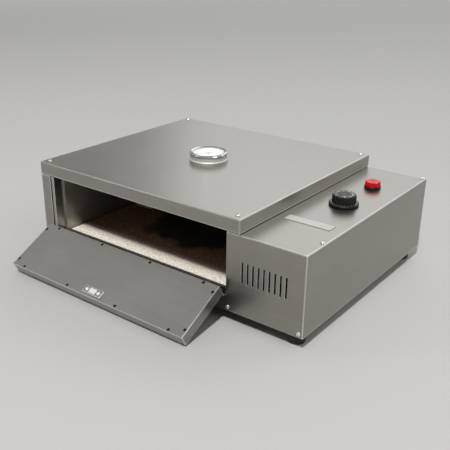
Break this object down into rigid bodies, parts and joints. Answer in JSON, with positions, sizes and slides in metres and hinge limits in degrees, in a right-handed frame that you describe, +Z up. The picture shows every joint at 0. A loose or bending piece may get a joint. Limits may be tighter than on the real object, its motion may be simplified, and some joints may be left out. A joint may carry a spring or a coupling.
{
  "type": "electric pizza oven",
  "caption": "Low countertop pizza oven in folded stainless sheet: stone-floored chamber, drop-down door, dial thermometer on the lid, side control box with knob and pilot lamp.",
  "frame": {"origin": "on the table under the middle of the oven's outline, with the door open as stored", "axes": "+Z up, the door and the control front face -Y, +X along the width from the chamber to the control box"},
  "size_m": [0.54, 0.515, 0.1841],
  "materials": {
    "stainless": "brushed, satin",
    "inner_steel": "rolled, dull",
    "bright_steel": "plated, bright",
    "chrome": "polished",
    "clear_glass": "clear",
    "lamp_glass": "clear",
    "dial_white": "satin white",
    "pointer_black": "satin black",
    "white_plate": "satin white, blank",
    "stone": "unglazed, gritty",
    "wool": "fibrous",
    "element": "heat darkened steel",
    "porcelain": "glazed white",
    "copper": "drawn copper",
    "dark_plastic": "moulded",
    "black_plastic": "moulded, satin",
    "red_lens": "clear red, glossy",
    "wire_silicone": "silicone sleeving",
    "rubber": "moulded"
  },
  "bodies": {
    "cabinet": {"base_pan": "stainless", "front_panel": "stainless", "left_side_panel": "stainless", "rear_panel": "stainless", "control_cover": "stainless", "lid": "stainless", "cover_rail": "inner_steel", "lid_brackets": "inner_steel", "partition": "inner_steel", "left_jamb": "stainless", "right_jamb": "stainless", "left_liner": "inner_steel", "right_liner": "inner_steel", "rear_liner": "inner_steel", "ceiling_liner": "inner_steel", "stone_supports": "inner_steel", "heater_hangers": "inner_steel", "left_insulation": "wool", "right_insulation": "wool", "rear_insulation": "wool", "top_insulation": "wool", "floor_insulation": "wool", "pizza_stone": "stone", "lower_heater": "element", "upper_heater": "element", "heater_terminals": "porcelain", "thermostat": "dark_plastic", "sensing_bulb": "copper", "pilot_lamp_base": "black_plastic", "pilot_lens": "red_lens", "pilot_bulb": "lamp_glass", "name_plate": "white_plate", "thermometer_case": "chrome", "thermometer_bezel": "chrome", "thermometer_glass": "clear_glass", "thermometer_dial": "dial_white", "thermometer_stem": "bright_steel", "terminal_block": "dark_plastic", "wiring": "wire_silicone", "cable_gland": "black_plastic", "lock_nuts": "bright_steel", "panel_screws": "bright_steel", "foot_screws": "bright_steel", "rubber_feet": "rubber", "hinge_leaf_fixed": "bright_steel", "hinge_pin": "bright_steel", "door_catch": "inner_steel"},
    "door": {"door_outer_pan": "stainless", "door_inner_plate": "stainless", "door_insulation": "wool", "door_screws": "bright_steel", "strike_plate": "bright_steel", "strike_screws": "bright_steel", "door_pull": "black_plastic", "door_pull_screw": "bright_steel", "hinge_leaf_door": "bright_steel"},
    "knob": {"knob": "black_plastic", "thermostat_shaft": "bright_steel"},
    "pointer": {"thermometer_pointer": "pointer_black"}
  },
  "joints": [
    {"name": "door_hinge", "type": "hinge", "parent": "cabinet", "child": "door", "pos_m": [-0.051, -0.16028, 0.0454], "axis": [-1, 0, 0], "range_deg": [0, 118]},
    {"name": "knob_turn", "type": "hinge", "parent": "cabinet", "child": "knob", "pos_m": [0.217, 0.04072, 0.147], "axis": [0, 0, -1], "range_deg": [0, 300]},
    {"name": "pointer_sweep", "type": "hinge", "parent": "cabinet", "child": "pointer", "pos_m": [-0.0505, 0.03902, 0.178], "axis": [0, 0, -1], "range_deg": [0, 270]}
  ]
}
